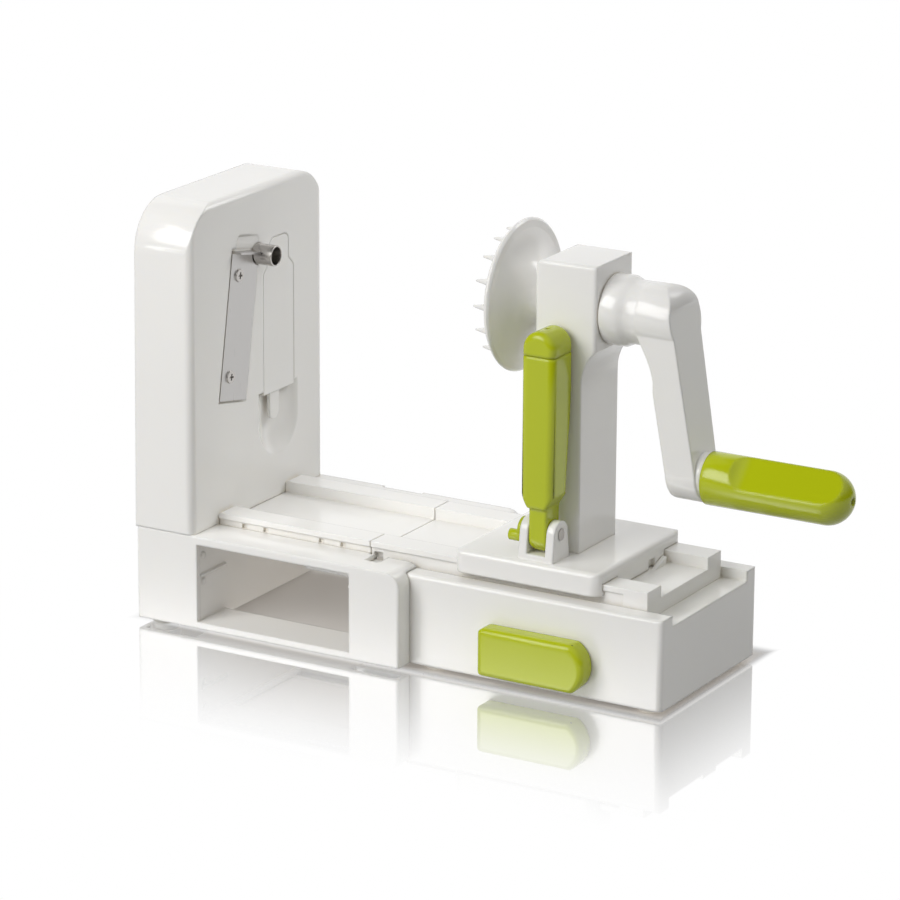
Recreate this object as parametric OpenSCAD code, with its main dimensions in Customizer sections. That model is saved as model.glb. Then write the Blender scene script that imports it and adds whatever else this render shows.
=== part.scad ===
// Hand cranked spiralizer: a blade tower on a slotted base, a plug-in base half with rails,
// and a carriage that carries the crank, the food holder disc and a fold-out push lever.
// X runs from the blade tower to the crank, Y to the rear, Z up. Lengths are millimetres.
// X is zero halfway between the tower's outer end and the end of the grip, Y on the crank's
// axis, Z on the table.

/* [Base halves] */
// Length of the two base halves plugged together
base_len = 301.3; // [280:0.1:330]
// Height of the rubber feet, the gap under the housings
foot_h = 3.2; // [2.8:0.1:5]
// Height of the base half that carries the rails
base_h = 47.1; // [43:0.1:52]
// Depth of the base half that carries the rails, front to rear
base_w = 103; // [98:1:110]
// How far the sleeve half stands proud of the other, at front and rear
sleeve_proud = 11.5; // [9:0.5:14]
// Length of the sleeve half
sleeve_len = 158.3; // [150:0.1:165]
// How far the rail half plugs into the sleeve
plug_depth = 29; // [24:1:32]
// Wall thickness of the moulded housings
wall = 3; // [2.4:0.1:3.6]
// Rounding of the housings' upright corners
housing_r = 3; // [2:0.5:4]

/* [Storage bay] */
// Length of the window in the sleeve's front
bay_len = 92; // [80:1:94]
// Depth of the floor strip behind the window
bay_strip_w = 27; // [20:1:32]
// Thickness of that floor strip
bay_strip_t = 3.4; // [2.5:0.1:5]
// Height left above the window
bay_lintel_h = 4.4; // [3:0.1:8]

/* [Tower] */
// Thickness of the tower along the base
tower_t = 35.3; // [31:0.1:38]
// Height of the tower above its seat on the sleeve
tower_h = 171.6; // [160:0.2:185]
// Rounding of the tower's two upper corners
tower_r = 25; // [18:1:32]
// How far the tower overhangs the sleeve all round
tower_lap = 0.3; // [0.2:0.1:1]
// How much thinner the tower is at its top, on its outer side
tower_draft = 2; // [0:0.5:4]
// Thickness of the tower's face, which carries the cutters
face_t = 3.4; // [3:0.1:4]
// Width of the thumb scoop under the insert
scoop_w = 38; // [32:1:42]
// Depth of the thumb scoop
scoop_depth = 6; // [4:0.5:8]

/* [Blade and tube] */
// Length of the blade
blade_len = 78; // [70:1:82]
// Width of the blade
blade_w = 23.5; // [20:0.5:26]
// Thickness of the blade's steel
blade_t = 1.2; // [1:0.1:1.5]
// Lean of the blade away from upright
blade_lean = 10; // [8:0.5:14]
// Tilt that lifts the cutting edge off the face
blade_tilt = 3; // [2:0.5:4]
// How far the bent lip stands out of the blade
blade_lip = 6.5; // [5:0.5:8]
// Outer diameter of the coring tube
tube_d = 11; // [9:0.5:13]
// Wall of the coring tube
tube_wall = 0.8; // [0.6:0.1:1]
// How far the coring tube stands out of the face
tube_reach = 11.6; // [9:0.2:14]
// Length of the coring tube behind the face
tube_tail = 8; // [6:0.5:10]
// Diameter of the blade's screw heads
blade_screw_d = 7; // [6:0.2:9]

/* [Insert] */
// Width of the insert's body
insert_w = 29; // [26:0.5:32]
// Height of the insert's body up to its shoulders
insert_body_h = 65; // [60:1:70]
// Height of the insert with its neck
insert_h = 83; // [78:1:86]
// Width of the insert's neck
insert_neck_w = 18; // [14:0.5:20]
// Depth of the insert's frame behind its face
insert_depth = 12; // [8:0.5:14]

/* [Track] */
// Overall width over the rails' flanges
track_w = 79; // [76:0.5:82]
// Width of one rail
rail_w = 14.2; // [12:0.1:15]
// Height of the rails above the deck between them
rail_h = 6.1; // [5:0.1:7]
// Height of the deck between the rails above the sleeve's top
deck_rise = 0.3; // [0:0.1:1]
// Thickness of the rails' flanges
flange_t = 3.1; // [2.6:0.1:3.6]
// Overhang of the flanges past the webs
flange_lap = 1.1; // [0.9:0.1:1.4]
// Distance from the base's end to the rails' end
track_setback = 14.5; // [10:0.5:20]
// Length of the stop tooth
tooth_len = 2.6; // [2:0.2:5]
// Distance from the stop tooth to the rails' end
tooth_setback = 21.8; // [15:0.2:25]

/* [Carriage] */
// Length of the carriage plate along the rails
plate_len = 83.3; // [78:0.1:90]
// Width of the carriage plate across the rails
plate_w = 88.4; // [87:0.2:94]
// Thickness of the carriage plate above the rails
plate_top_t = 5.7; // [5:0.1:7]
// Gap between the plate and the sleeve's top
plate_gap = 0.6; // [0.4:0.1:1]

/* [Column] */
// Distance from the plate's left edge to the column
column_inset = 31.5; // [30:0.1:36]
// Width of the column's head along the rails
head_len = 34.3; // [32:0.1:37]
// Width of the column under its head
stem_len = 26.6; // [24:0.1:28]
// Depth of the column, front to rear
column_w = 38.1; // [36:0.1:42]
// Height of the crank's axis above the table
axis_h = 189.1; // [180:0.1:195]
// Height of the column above the crank's axis
head_rise = 24.8; // [22:0.1:28]
// Height of the head below the crank's axis
head_drop = 18.5; // [18:0.1:22]
// Radius of the curve under the head
cove_r = 22.5; // [20:0.5:26]

/* [Push lever] */
// Width of the lever's body
lever_w = 18.3; // [16:0.1:20]
// Depth of the lever's body
lever_d = 20.8; // [18:0.1:21]
// Height of the lever above its pin
lever_len = 104.3; // [96:0.1:110]
// Height of the lever's neck above its pin
neck_len = 13.7; // [12:0.1:16]
// Height of the slope from neck to body
neck_slope = 6.4; // [5:0.1:9]
// Width of the lever's neck
neck_w = 10; // [9:0.1:11]
// Height of the lever's cap
cap_h = 12.4; // [11:0.1:16]
// Thickness of the clevis ears
ear_t = 4.6; // [4:0.1:5]
// Depth of the clevis ears, front to rear
ear_d = 16.6; // [14:0.1:17]
// Diameter of the lever's pin
lever_pin_d = 6; // [5:0.1:7]

/* [Holder disc] */
// Diameter of the food holder disc
disc_d = 77.8; // [70:0.2:80]
// Thickness of the disc at its rim
disc_t = 3.2; // [2.6:0.1:5]
// Number of spikes on the disc
spike_count = 16; // [10:1:18]
// Length of the spikes
spike_len = 8.6; // [8:0.1:11]
// Diameter of a spike at its root
spike_d = 4.8; // [4:0.1:6.6]
// Diameter of the circle of spikes
spike_circle_d = 65.4; // [56:0.2:68]
// Distance from the disc's face to the column
disc_reach = 18.6; // [18:0.2:24]

/* [Crank] */
// Diameter of the crank's hub
hub_d = 35.8; // [34:0.1:37]
// Distance from the crank's axis to the grip's axis
crank_r = 78.8; // [72:0.1:84]
// Distance from the column to the grip
crank_reach = 55.8; // [50:0.2:60]
// Thickness of the crank's arm
arm_t = 16.6; // [14:0.1:18]
// Width of the arm beside the hub
arm_top_w = 29; // [26:0.5:31]
// Width of the arm beside the grip
arm_low_w = 25.2; // [24:0.2:26]
// Diameter of the drive shaft
shaft_d = 10; // [9:0.5:11]

/* [Grip] */
// Length of the grip
grip_len = 77.2; // [72:0.2:86]
// Diameter of the grip
grip_d = 27; // [26:0.2:30]
// Length of the plain collar before the finger flats
grip_collar = 15; // [12:0.5:18]
// Depth of the grip's two finger flats
flat_depth = 4.4; // [3:0.1:4.8]
// Diameter of the grip's axle
axle_d = 8; // [7:0.5:9]

/* [Suction foot] */
// Length of the suction lever
knob_len = 60.4; // [56:0.2:68]
// Height of the suction lever
knob_h = 25.4; // [23:0.2:27]
// How far the suction lever stands out of the base
knob_t = 11; // [9:0.5:11]
// Distance from the base's right end to the lever's axis
knob_setback = 50.2; // [44:0.2:54]
// Height of the lever's axis above the table
knob_axis_h = 20.2; // [19:0.1:22]
// Diameter of the cam shaft
cam_shaft_d = 9; // [8:0.5:10]
// Throw of the cam, the lift of the suction foot
cam_throw = 3; // [2:0.1:3.2]
// Diameter of the cam
cam_d = 16; // [14:0.5:17]
// Diameter of the rubber suction foot
cup_d = 62; // [56:1:66]

/* [Fits and fasteners] */
// Gap round pieces that plug or slide together
fit_gap = 0.3; // [0.2:0.05:0.4]
// Radial clearance of shafts and pins in their holes
run_gap = 0.06; // [0.03:0.01:0.08]
// Diameter of the rubber feet
foot_d = 14; // [12:0.5:16]
// Diameter of the housing screws
screw_d = 3.5; // [3:0.1:4]
// Diameter of the housing screws' heads
screw_head_d = 6.4; // [6:0.2:7]

/* [Hidden] */
$fn = 64;

white = [0.93, 0.92, 0.89];
lime = [0.68, 0.74, 0.13];
steel = [0.68, 0.67, 0.66];
rubber = [0.55, 0.55, 0.54];

// One overrun for every cut
cut = 1;

// Places along X
total_len = base_len - track_setback - tooth_setback - tooth_len - fit_gap - plate_len
    + column_inset + head_len + crank_reach + grip_len;
x_left = -total_len / 2;
x_right = x_left + base_len;
x_face = x_left + tower_t;
x_sleeve = x_left + sleeve_len;
x_bay1 = x_sleeve - plug_depth - fit_gap;
x_bay0 = x_bay1 - bay_len;
x_plug = x_sleeve - plug_depth;
x_rail_end = x_right - track_setback;
x_tooth = x_rail_end - tooth_setback - tooth_len;
x_plate1 = x_tooth - fit_gap;
x_plate0 = x_plate1 - plate_len;
x_col0 = x_plate0 + column_inset;
x_col1 = x_col0 + head_len;
x_stem1 = x_col0 + stem_len;
x_grip = x_col1 + crank_reach;
x_grip_end = x_grip + grip_len;
x_disc = x_col0 - disc_reach;
x_knob = x_right - knob_setback;

// Places along Z
z_base0 = foot_h;
z_base1 = foot_h + base_h;
ledge_rise = 2.6;
z_ledge = z_base1 + ledge_rise;
z_deck = z_ledge + deck_rise;
z_rail = z_deck + rail_h;
recess_h = 5.5;
z_recess = z_base1 - recess_h;
z_plate0 = z_ledge + plate_gap;
rail_gap = 0.3;
z_plate_in = z_rail + rail_gap;
z_plate1 = z_plate_in + plate_top_t;
z_tower1 = z_ledge + tower_h;
z_head = axis_h - head_drop;
pin_rise = 13.3;
z_pin = z_plate1 + pin_rise;
z_grip = axis_h - crank_r;

// Half widths
sleeve_y = base_w / 2 + sleeve_proud;
tower_y = sleeve_y + tower_lap;
base_y = base_w / 2;
flange_y = track_w / 2;
web_y = flange_y - flange_lap;
rail_in_y = flange_y - rail_w;
plate_y = plate_w / 2;
column_y = column_w / 2;

// A box between two corners
module box(lo, hi) {
    translate(lo) cube(hi - lo);
}

// A rectangle between two corners with rounded corners
module round_rect(lo, hi, r) {
    translate([lo[0] + r, lo[1]]) square([hi[0] - lo[0] - 2 * r, hi[1] - lo[1]]);
    translate([lo[0], lo[1] + r]) square([hi[0] - lo[0], hi[1] - lo[1] - 2 * r]);
    for (x = [lo[0] + r, hi[0] - r], y = [lo[1] + r, hi[1] - r])
        translate([x, y]) circle(r);
}

// A rectangle whose two upper corners are rounded
module top_round_rect(lo, hi, r) {
    translate(lo) square([hi[0] - lo[0], hi[1] - lo[1] - r]);
    translate([lo[0] + r, lo[1]]) square([hi[0] - lo[0] - 2 * r, hi[1] - lo[1]]);
    for (x = [lo[0] + r, hi[0] - r])
        translate([x, hi[1] - r]) circle(r);
}

// Extrusions of a profile drawn in YZ, in XZ and in XY
module along_x(x0, x1) {
    translate([x0, 0, 0]) rotate([90, 0, 90]) linear_extrude(x1 - x0) children();
}
module along_y(y0, y1) {
    translate([0, y1, 0]) rotate([90, 0, 0]) linear_extrude(y1 - y0) children();
}
module along_z(z0, z1) {
    translate([0, 0, z0]) linear_extrude(z1 - z0) children();
}

// Round rods along the three axes
module rod_x(x0, x1, r, y, z) {
    translate([x0, y, z]) rotate([0, 90, 0]) cylinder(h = x1 - x0, r = r);
}
module rod_y(y0, y1, r, x, z) {
    translate([x, y1, z]) rotate([90, 0, 0]) cylinder(h = y1 - y0, r = r);
}
module rod_z(z0, z1, r, x, y) {
    translate([x, y, z0]) cylinder(h = z1 - z0, r = r);
}

// The same shape at the front and mirrored to the rear
module both_sides() {
    children();
    mirror([0, 1, 0]) children();
}

// Seats of the feet, on the two halves
foot_inset = 10.5;
boss_lap = 0.8;
foot_stub_d = 6;
foot_stub_h = 5;
left_feet_at = [for (y = [-sleeve_y + foot_inset, sleeve_y - foot_inset])
                [x_left + tower_lap + foot_inset, y]];
right_feet_at = [for (x = [x_sleeve + foot_inset + fit_gap, x_right - foot_inset],
                      y = [-base_y + foot_inset, base_y - foot_inset]) [x, y]];
boss_h = 9;
post_r = foot_inset - wall + boss_lap;

// Screws that hold the tower, from under the sleeve's top
tower_screw_inset = 7;
tower_screw_len = 16;
tower_screws_at = [for (x = [x_left + tower_lap + tower_screw_inset, x_face - tower_screw_inset],
                        y = [-sleeve_y + tower_screw_inset, sleeve_y - tower_screw_inset])
                   [x, y]];
tower_boss_r = 5.2;
tower_boss_h = 22;
screw_head_t = 2.4;
pilot_gap = 0.02;
slot_w = 1;
slot_depth = 1;

module pan_screw(len, d, head_d, head_t) {
    difference() {
        union() {
            cylinder(h = len, r = d / 2);
            translate([0, 0, -head_t]) cylinder(h = head_t, r1 = head_d / 2 - head_t / 4, r2 = head_d / 2);
        }
        for (a = [0, 90])
            rotate(a) translate([-head_d / 4, -slot_w / 2, -head_t - cut])
                cube([head_d / 2, slot_w, slot_depth + cut]);
    }
}

top_t = 3;
sleeve_end_r = 8;
sleeve_r = 1.2;
shelf_t = 3;
shelf_w = 4.5;
bay_lip_t = 2.4;
drop_lip_share = 0.3;
window_z0 = z_base0 + bay_strip_t;
window_z1 = z_ledge - bay_lintel_h;
latch_setback = 1.5;
latch_hole_x0 = x_plug + latch_setback;
latch_hole_len = 8;
latch_hole_w = 11.6;
slot_gap = 2.2;
nub_r = 1.6;
nub_h = 0.9;
nub_rise_shares = [0.49, 0.77];
runner_share = 0.54;
runner_t = 1.6;
runner_lap = 1.2;
notch_len = 24;
notch_depth = 2.2;
notch_from_face = 39;

// Left half: open-bottomed housing with the storage bay and the socket for the other half
module base_sleeve() {
    color(white) difference() {
        union() {
            intersection() {
                along_z(z_base0, z_ledge)
                    round_rect([x_left + tower_lap, -sleeve_y], [x_sleeve, sleeve_y], sleeve_r);
                along_y(-sleeve_y, sleeve_y)
                    top_round_rect([x_left + tower_lap - sleeve_end_r, z_base0], [x_sleeve, z_ledge],
                                   sleeve_end_r);
            }
        }
        // hollow under the tower
        box([x_left + tower_lap + wall, -sleeve_y + wall, z_base0 - cut],
            [x_bay0 - wall, sleeve_y - wall, z_ledge - top_t]);
        // storage bay, open below behind the floor strip
        box([x_bay0, -sleeve_y + bay_strip_w, z_base0 - cut],
            [x_bay1, sleeve_y - wall, z_ledge - top_t - shelf_t]);
        box([x_bay0, -sleeve_y + wall, window_z0],
            [x_bay1, sleeve_y - wall, z_ledge - top_t - shelf_t]);
        // window in the front wall
        box([x_bay0 + fit_gap, -sleeve_y - cut, window_z0],
            [x_bay1, -sleeve_y + wall + cut, window_z1]);
        // opening for the left track, on a shelf
        box([x_face, -web_y - fit_gap, z_ledge - top_t],
            [x_sleeve + cut, web_y + fit_gap, z_ledge + cut]);
        box([x_seam, -web_y - slot_gap, z_base1],
            [x_sleeve + cut, web_y + slot_gap, z_ledge + cut]);
        box([x_face + shelf_w, -web_y + shelf_w, z_ledge - top_t - shelf_t - cut],
            [x_bay1 + cut, web_y - shelf_w, z_ledge]);
        // socket for the other half
        box([x_bay1 - cut, -base_y - fit_gap, z_base0 - cut],
            [x_sleeve + cut, base_y + fit_gap, z_base1 + fit_gap]);
        // pockets that thin the socket's cheeks
        both_sides()
            box([x_bay1 - cut, base_y + fit_gap + wall, z_base0 - cut],
                [x_sleeve - wall, sleeve_y - wall, z_base1 - wall]);
        // release hole beside the front rail
        box([latch_hole_x0, -web_y - latch_hole_w, z_base1],
            [latch_hole_x0 + latch_hole_len, -web_y, z_ledge + cut]);
        // notch in the rear edge
        box([x_face + notch_from_face, sleeve_y - notch_depth, z_base1],
            [x_face + notch_from_face + notch_len, sleeve_y + cut, z_ledge + cut]);
        // screws up into the tower
        for (p = tower_screws_at)
            rod_z(z_base0, z_ledge + cut, screw_d / 2 + run_gap, p[0], p[1]);
        // sockets of the feet
        for (p = left_feet_at)
            rod_z(z_base0 - cut, z_base0 + foot_stub_h + fit_gap, foot_stub_d / 2 + pilot_gap,
                  p[0], p[1]);
    }
    // corner posts that carry the feet
    color(white) for (p = left_feet_at) difference() {
        rod_z(z_base0, z_base0 + boss_h, post_r, p[0], p[1]);
        rod_z(z_base0 - cut, z_base0 + foot_stub_h + fit_gap, foot_stub_d / 2 + pilot_gap,
              p[0], p[1]);
    }
    // drop lip over the window's right end
    color(white)
        box([x_bay1 - bay_len * drop_lip_share, -sleeve_y + wall, window_z1 - bay_lip_t],
            [x_bay1 + cut, -sleeve_y + wall + bay_lip_t, z_ledge - top_t - shelf_t + cut]);
    // nubs and runners on the bay's side walls
    color(white) {
        for (s = nub_rise_shares)
            rod_x(x_bay0 - cut, x_bay0 + nub_h, nub_r,
                  -sleeve_y + wall + 2 * nub_r, z_base0 + (z_ledge - z_base0) * s);
        rod_x(x_bay1 - nub_h, x_bay1 + cut, nub_r / 2, -sleeve_y + wall / 2,
              z_base0 + (z_ledge - z_base0) * nub_rise_shares[1]);
        box([x_bay0 - cut, -sleeve_y + wall, z_base0 + (z_ledge - z_base0) * runner_share],
            [x_bay0 + runner_lap, -sleeve_y + bay_strip_w,
             z_base0 + (z_ledge - z_base0) * runner_share + runner_t]);
    }
}

// Outline of the tower seen along the base, drawn in by an inset
module tower_outline(inset) {
    top_round_rect([-tower_y + inset, z_ledge], [tower_y - inset, z_tower1 - inset],
                   tower_r - inset);
}

tower_edge_r = 4;
blade_y = -18.2;
blade_drop = 34.6;
blade_z = axis_h - blade_drop;
blade_gap = 1.2;
blade_seat = 0.9;
pocket_t = 0.7;
pocket_h = 8;
pocket_r = 3;
pocket_inset = 3;
slit_end_shares = [-0.46, 0.32];
slit_w = 6;
insert_y0 = 5.3;
insert_drop = 78.1;
insert_z0 = axis_h - insert_drop;
neck_y0 = 6.2;
insert_gap = 0.25;
insert_r = 2;
neck_r = 4;
insert_wall = 2;
scoop_drop = 15.5;
scoop_z = insert_z0 - scoop_drop;
scoop_y = 19;
tube_boss_r = tube_d / 2 + wall;
boss_len = 6;

// Places a child in the blade's own frame: X out of the face, Y towards the edge, Z along it
module at_blade() {
    translate([x_face, blade_y, blade_z]) rotate([-blade_lean, 0, 0]) rotate([0, 0, -blade_tilt])
        children();
}

// Outline of the insert: a body with sloping shoulders and a narrower neck
module insert_outline(grow) {
    shoulder = insert_w - insert_neck_w;
    translate([insert_y0 - grow, insert_z0 - grow])
        square([insert_w + 2 * grow, insert_body_h + grow]);
    polygon([[insert_y0 - grow, insert_z0 + insert_body_h - grow],
             [insert_y0 + insert_w + grow, insert_z0 + insert_body_h - grow],
             [insert_y0 + insert_w + grow, insert_z0 + insert_body_h],
             [insert_y0 + neck_y0 + insert_neck_w + grow,
              insert_z0 + insert_body_h + (shoulder - neck_y0)],
             [insert_y0 + neck_y0 + insert_neck_w + grow, insert_z0 + insert_h - neck_r],
             [insert_y0 + neck_y0 - grow, insert_z0 + insert_h - neck_r],
             [insert_y0 + neck_y0 - grow, insert_z0 + insert_body_h + neck_y0],
             [insert_y0 - grow, insert_z0 + insert_body_h]]);
    translate([insert_y0 + neck_y0 - grow, insert_z0 + insert_h - 2 * neck_r])
        top_round_rect([0, 0], [insert_neck_w + 2 * grow, 2 * neck_r + grow], neck_r);
}

// The thumb scoop: an upright rod with a round lower end, sunk into the face
module scoop(grow) {
    half = scoop_w / 2;
    r = (half * half + scoop_depth * scoop_depth) / (2 * scoop_depth);
    translate([x_face + r - scoop_depth, scoop_y, scoop_z]) {
        sphere(r + grow);
        cylinder(h = insert_z0 - scoop_z + scoop_depth, r = r + grow);
    }
}

// Upright housing that carries the blade, the tube and the insert, open at its back
module tower_shell() {
    color(white) difference() {
        union() {
            difference() {
                intersection() {
                    along_x(x_left, x_face) tower_outline(0);
                    along_z(z_ledge, z_tower1)
                        round_rect([x_left - tower_t, -tower_y], [x_face, tower_y], tower_edge_r);
                    along_y(-tower_y, tower_y) difference() {
                        top_round_rect([x_left - tower_t, z_ledge], [x_face, z_tower1],
                                       tower_edge_r);
                        polygon([[x_left - tower_t, z_ledge], [x_left, z_ledge],
                                 [x_left + tower_draft, z_tower1],
                                 [x_left - tower_t, z_tower1]]);
                    }
                }
                along_x(x_left - cut, x_face - face_t) tower_outline(wall);
                box([x_left - cut, -tower_y + wall, z_ledge - cut],
                    [x_face - face_t, tower_y - wall, z_ledge + tower_h / 2]);
            }
            // wall behind the thumb scoop
            intersection() {
                scoop(wall);
                box([x_face - scoop_depth - wall, scoop_y - scoop_w / 2 - wall,
                     scoop_z - scoop_w / 2 - wall - scoop_depth],
                    [x_face - face_t + cut, scoop_y + scoop_w / 2 + wall, insert_z0]);
            }
            // boss behind the coring tube
            rod_x(x_face - face_t - boss_len, x_face - face_t + cut, tube_boss_r, 0, axis_h);
            // bosses for the screws from below
            for (p = tower_screws_at)
                rod_z(z_ledge, z_ledge + tower_boss_h, tower_boss_r, p[0], p[1]);
            // bosses behind the blade's screws
            at_blade() for (s = [-1, 1])
                translate([-face_t - boss_len, blade_screw_y, s * blade_screw_z]) rotate([0, 90, 0])
                    cylinder(h = boss_len + face_t / 2, r = tower_boss_r);
        }
        // seat of the blade and the slit under its edge
        at_blade() {
            translate([-blade_seat, -blade_w / 2 - blade_gap, -blade_len / 2 - blade_gap])
                cube([blade_seat + 2 * cut, blade_w + 2 * blade_gap, blade_len + 2 * blade_gap]);
            translate([-face_t - 2 * cut, blade_w / 2 - slit_w + blade_gap,
                       blade_len * slit_end_shares[0]])
                cube([face_t + 3 * cut, slit_w,
                      blade_len * (slit_end_shares[1] - slit_end_shares[0])]);
            // shallow pocket above the blade, beside the tube
            translate([-pocket_t, -blade_w / 2 + pocket_inset, blade_len / 2 - pocket_inset])
                rotate([90, 0, 90]) linear_extrude(pocket_t + 2 * cut)
                    round_rect([0, 0], [blade_w - pocket_inset, pocket_h + pocket_inset],
                               pocket_r);
            for (s = [-1, 1])
                translate([-face_t - boss_len - cut, blade_screw_y, s * blade_screw_z])
                    rotate([0, 90, 0])
                        cylinder(h = face_t + boss_len + 2 * cut, r = blade_screw_shank_r + pilot_gap);
        }
        // opening for the insert
        along_x(x_face - face_t - cut, x_face + cut) insert_outline(insert_gap);
        // thumb scoop
        intersection() {
            scoop(0);
            box([x_face - scoop_depth - cut, scoop_y - scoop_w, scoop_z - scoop_w],
                [x_face + cut, scoop_y + scoop_w, insert_z0 + insert_r]);
        }
        // bore for the coring tube
        rod_x(x_face - face_t - boss_len - cut, x_face + cut, tube_d / 2 + pilot_gap, 0, axis_h);
        // pilot holes of the screws from below
        for (p = tower_screws_at)
            rod_z(z_ledge - cut, z_ledge + tower_screw_len - top_t + fit_gap,
                  screw_d / 2 + pilot_gap, p[0], p[1]);
    }
}

// Profile of the two rails with the deck between them, from a floor height up
module rail_profile(z_floor) {
    both_rails() {
        translate([rail_in_y, z_rail - flange_t]) square([rail_w, flange_t]);
        translate([rail_in_y, z_floor]) square([web_y - rail_in_y, z_rail - z_floor]);
    }
    translate([-rail_in_y, z_deck - top_t]) square([2 * rail_in_y, top_t]);
}
module both_rails() {
    children();
    mirror([1, 0]) children();
}

rail_hole_w = 2.9;
rail_hole_h = 2.4;
rail_hole_t = 1.4;
rail_hole_steps = [14.1, 27.1, 60.8, 73.8];
rail_end_cut = 1.6;
seam_gap = 0.2;
end_block_len = 14;
seam_shift = 1.9;
x_seam = x_plug - seam_shift;

// Left half's deck and rails, which the carriage runs on up to the tower
module left_track() {
    color(white) difference() {
        along_x(x_face + seam_gap, x_seam - seam_gap) rail_profile(z_ledge - top_t);
        // hollow undersides of the rails
        both_sides()
            box([x_face + top_t, rail_in_y + top_t, z_ledge - top_t - cut],
                [x_seam - top_t, web_y - top_t, z_rail - top_t]);
        // small square windows at the foot of the rails
        for (s = rail_hole_steps)
            both_sides()
                box([x_face + s, -web_y - cut, z_ledge],
                    [x_face + s + rail_hole_w, -web_y + rail_hole_t, z_ledge + rail_hole_h]);
        // chamfer of the rails beside the tower
        translate([x_face + seam_gap, 0, z_rail]) rotate([0, 45, 0])
            cube([rail_end_cut, 2 * tower_y, rail_end_cut], center = true);
    }
}

blade_screw_y = -4.4;
blade_screw_z = 26.4;
blade_screw_shank_r = 1.7;
blade_screw_head_t = 0.9;
blade_screw_len = 8;
edge_bevel = 3;

// Straight slicing blade with a ground edge and a bent lip at its top
module straight_blade() {
    color(steel) difference() {
        at_blade() difference() {
        union() {
            linear_extrude(blade_len, center = true)
                polygon([[fit_gap / 2 - blade_seat, -blade_w / 2],
                         [fit_gap / 2 - blade_seat, blade_w / 2 - edge_bevel],
                         [fit_gap / 2 - blade_seat + blade_t - blade_t / 4, blade_w / 2],
                         [fit_gap / 2 - blade_seat + blade_t, blade_w / 2],
                         [fit_gap / 2 - blade_seat + blade_t, -blade_w / 2]]);
            translate([fit_gap / 2 - blade_seat, -blade_w / 2, blade_len / 2 - blade_t])
                cube([blade_lip, blade_w - edge_bevel, blade_t]);
        }
        for (s = [-1, 1])
            translate([-blade_t - cut, blade_screw_y, s * blade_screw_z]) rotate([0, 90, 0])
                cylinder(h = 2 * blade_t + 2 * cut, r = blade_screw_shank_r + run_gap);
        }
        // corner let out round the coring tube
        rod_x(x_face - face_t - cut, x_face + tube_reach, tube_d / 2 + blade_gap / 2, 0, axis_h);
    }
}

// Round headed screws that hold the blade
module blade_screws() {
    color(steel) at_blade() for (s = [-1, 1])
        translate([fit_gap / 2 - blade_seat + blade_t, blade_screw_y, s * blade_screw_z])
            rotate([0, -90, 0])
                pan_screw(blade_screw_len, blade_screw_shank_r * 2, blade_screw_d, blade_screw_head_t);
}

// Steel tube that takes the core out of the food
module coring_tube() {
    color(steel) difference() {
        rod_x(x_face - face_t - tube_tail, x_face + tube_reach, tube_d / 2, 0, axis_h);
        rod_x(x_face - face_t - tube_tail - cut, x_face + tube_reach + cut, tube_d / 2 - tube_wall,
              0, axis_h);
    }
}

// Screws that hold the tower on the sleeve
module tower_screws() {
    color(steel) for (p = tower_screws_at)
        translate([p[0], p[1], z_ledge - top_t])
            pan_screw(tower_screw_len, screw_d, screw_head_d, screw_head_t);
}

foot_lip_r = 1;

// One rubber foot with the stub that plugs into its housing
module rubber_foot() {
    difference() {
        union() {
            intersection() {
                cylinder(h = foot_h, r = foot_d / 2);
                cylinder(h = foot_h + foot_d, r1 = foot_d / 2 - foot_lip_r, r2 = foot_d * 2);
            }
            cylinder(h = foot_h + foot_stub_h, r = foot_stub_d / 2);
        }
    }
}

module left_feet() {
    color(rubber) for (p = left_feet_at) translate([p[0], p[1], 0]) rubber_foot();
}
module right_feet() {
    color(rubber) for (p = right_feet_at) translate([p[0], p[1], 0]) rubber_foot();
}

tongue_w = 9;
tongue_drop = 11;
tongue_y = 17;
tongue_depth = 1;

// Removable blank that closes the comb opening, a face on an open frame
module blank_insert() {
    color(white) {
        along_x(x_face - insert_wall, x_face) insert_outline(0);
        // finger tongue that hangs into the thumb scoop
        along_x(x_face - tongue_depth - insert_wall, x_face - tongue_depth) {
            translate([tongue_y, insert_z0 - tongue_drop]) circle(tongue_w / 2);
            translate([tongue_y - tongue_w / 2, insert_z0 - tongue_drop])
                square([tongue_w, tongue_drop + insert_wall]);
        }
        box([x_face - tongue_depth - insert_wall, tongue_y - tongue_w / 2, insert_z0],
            [x_face, tongue_y + tongue_w / 2, insert_z0 + insert_wall]);
        difference() {
            along_x(x_face - insert_depth, x_face - insert_wall)
                translate([insert_y0 + insert_gap, insert_z0 + insert_gap])
                    square([insert_w - 2 * insert_gap, insert_body_h - insert_gap]);
            along_x(x_face - insert_depth - cut, x_face - insert_wall)
                translate([insert_y0 + insert_gap + insert_wall, insert_z0 + insert_gap + insert_wall])
                    square([insert_w - 2 * insert_gap - 2 * insert_wall,
                            insert_body_h - insert_gap - 2 * insert_wall]);
        }
    }
}

guide_r = 36;
guide_t = 3;
cup_rise = 2.6;
cup_z = foot_h + cup_rise;
rear_rib_y = 14;

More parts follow.
